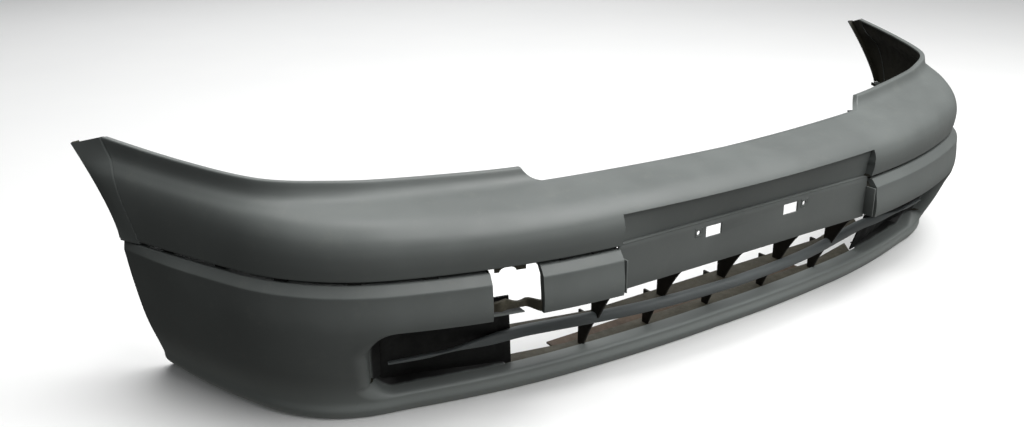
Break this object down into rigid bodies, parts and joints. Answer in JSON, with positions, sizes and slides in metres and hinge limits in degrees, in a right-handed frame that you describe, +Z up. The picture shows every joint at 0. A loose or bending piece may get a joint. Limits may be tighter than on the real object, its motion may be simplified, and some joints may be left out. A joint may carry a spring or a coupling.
{
  "type": "front bumper cover",
  "caption": "Moulded front bumper cover for a compact car, with plate panel, lower grille bar and fins, lamp wells with blanking plates, towing-eye opening and steel mounting brackets.",
  "frame": {"origin": "middle of the plan box, at the height of the bottom edge", "axes": "+X across the car (towards the viewer's right when facing the cover), -Y forward, +Z up"},
  "size_m": [1.703, 0.5462, 0.356],
  "materials": {
    "primed_skin": "satin grey primer on moulded plastic",
    "primed_panel": "matt grey primer on fine-grained plastic",
    "primed_bar": "satin grey primer, thin towards the back",
    "bare_shelf": "bare moulded plastic with dust and overspray",
    "brown_tray": "bare brownish plastic",
    "dark_fins": "bare black plastic",
    "dark_well": "grey primer that fades to black plastic",
    "black_blank": "black grained plastic",
    "clip_plastic": "black nylon",
    "zinc_steel": "zinc-plated sheet steel",
    "fastener_steel": "plated steel"
  },
  "bodies": {
    "root": {"upper_cover": "primed_skin", "lower_cover": "primed_skin", "plate_panel": "primed_panel", "arch_lip_left": "primed_skin", "arch_lip_right": "primed_skin", "grille_bar": "primed_bar", "bar_shelf": "bare_shelf", "upper_grille_fins": "dark_fins", "lower_grille_fins": "dark_fins", "lip_shelf": "bare_shelf", "lower_tray": "brown_tray", "fog_pocket_left": "dark_well", "fog_pocket_right": "dark_well", "fog_blank_left": "black_blank", "fog_blank_right": "black_blank", "tow_eye_frame": "bare_shelf", "wing_bracket_left": "zinc_steel", "wing_bracket_right": "zinc_steel", "top_mount_left": "zinc_steel", "top_mount_right": "zinc_steel", "bracket_rivets": "fastener_steel", "joint_clips": "clip_plastic", "panel_clips": "clip_plastic", "blank_screws": "fastener_steel", "tray_screws": "fastener_steel"}
  },
  "joints": []
}
